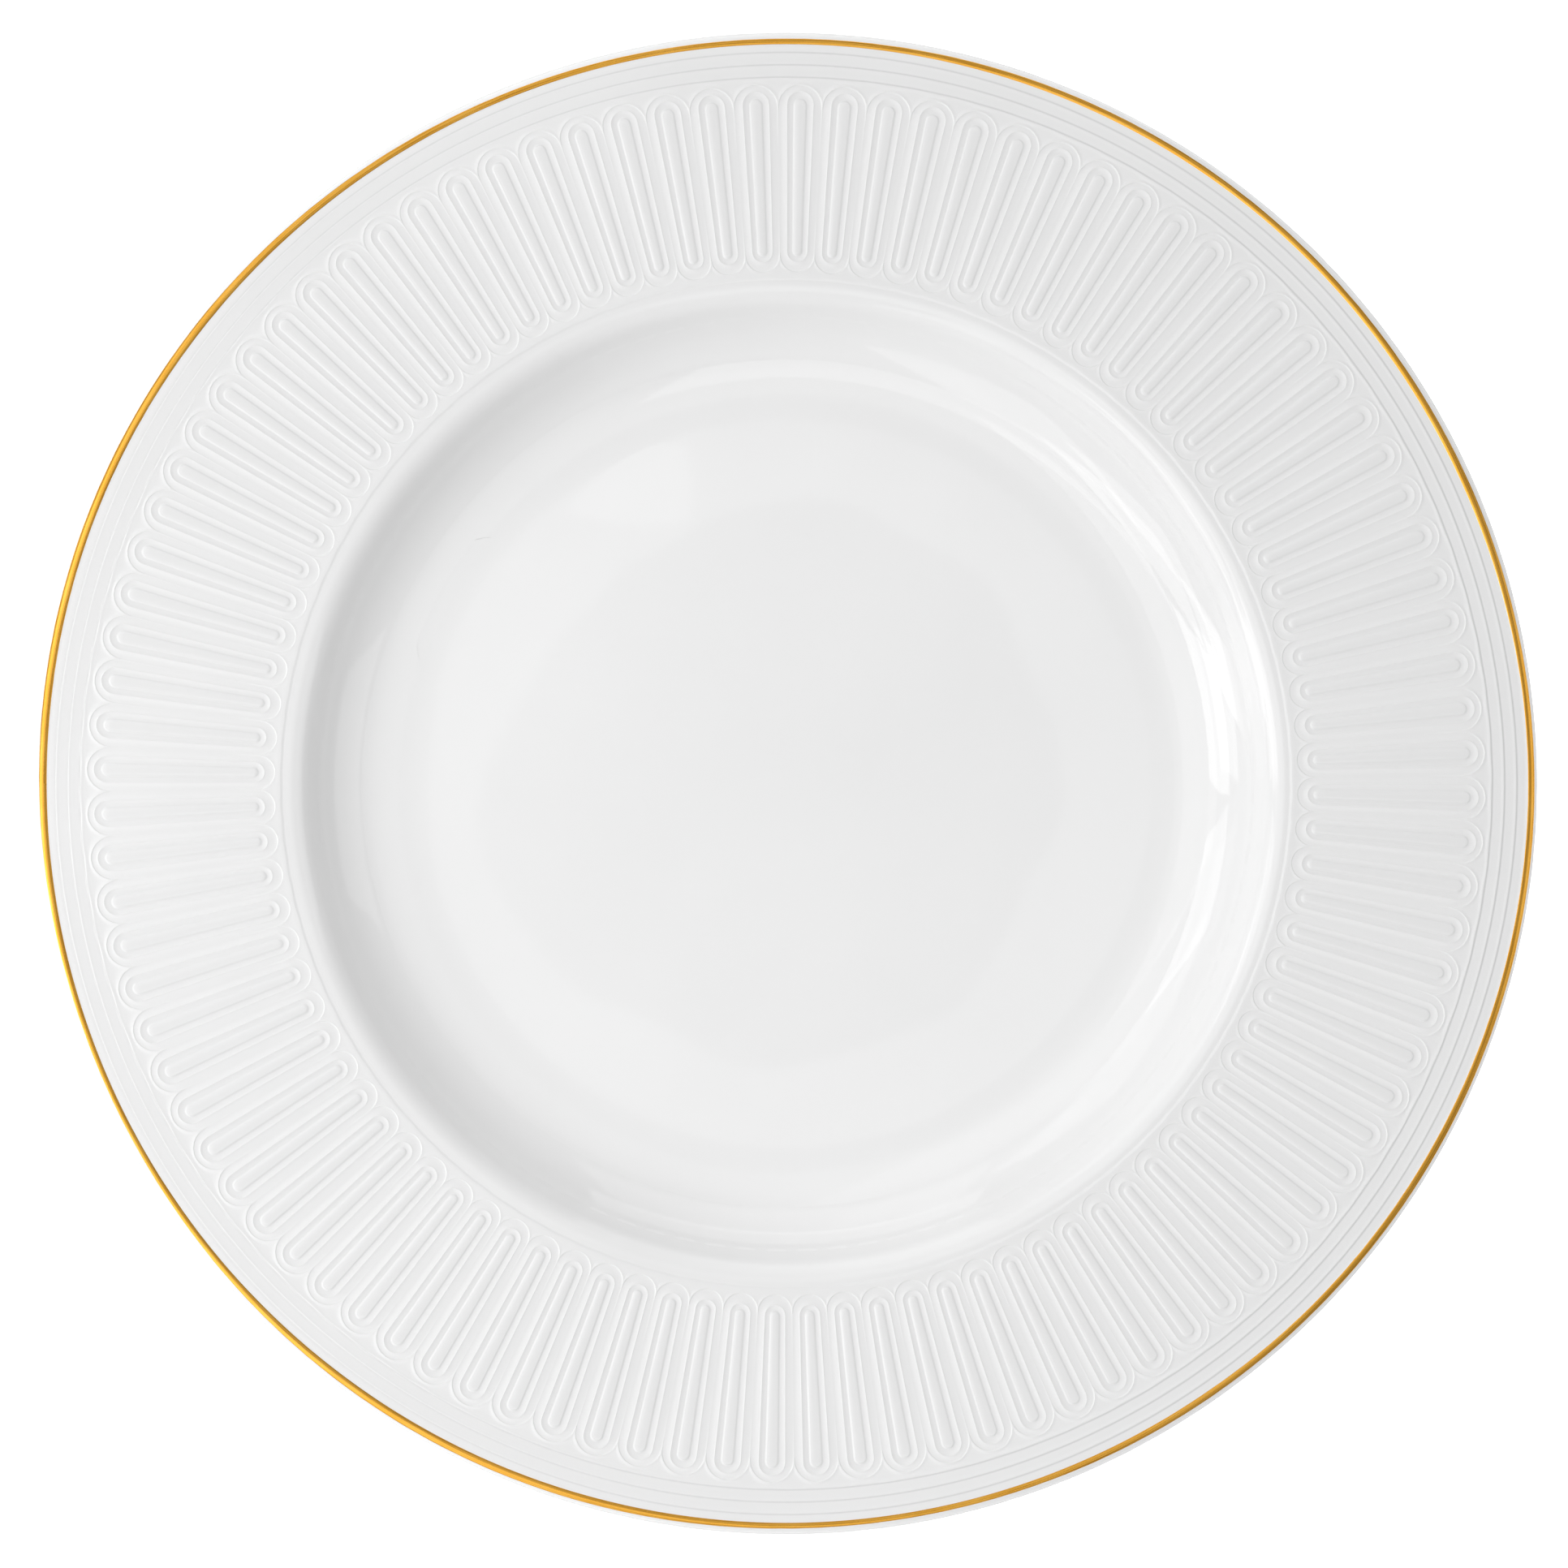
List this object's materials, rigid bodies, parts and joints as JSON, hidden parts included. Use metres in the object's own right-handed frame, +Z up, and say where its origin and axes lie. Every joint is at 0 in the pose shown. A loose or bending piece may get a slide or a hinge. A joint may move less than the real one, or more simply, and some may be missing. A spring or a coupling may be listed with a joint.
{
  "type": "china dinner plate",
  "caption": "Round white porcelain dinner plate with a shallow well, a wide rim of fine radial flutes, stepped reeds, a gilded lip and a foot ring",
  "frame": {"origin": "centre of the foot ring's tread, on the surface the plate stands on", "axes": "+Z up along the plate's axis, out of the well; +X and +Y across the rim, with +X through the side shown at the right of the picture and +Y through its top"},
  "size_m": [0.27, 0.27, 0.0236],
  "materials": {
    "biscuit": "bare fired porcelain, fine matt",
    "glaze": "clear glaze over white porcelain, glossy",
    "gold": null
  },
  "bodies": {
    "root": {"biscuit_body": "biscuit", "glaze_coat": "glaze", "base_glaze": "glaze", "gold_band": "gold"}
  },
  "joints": []
}
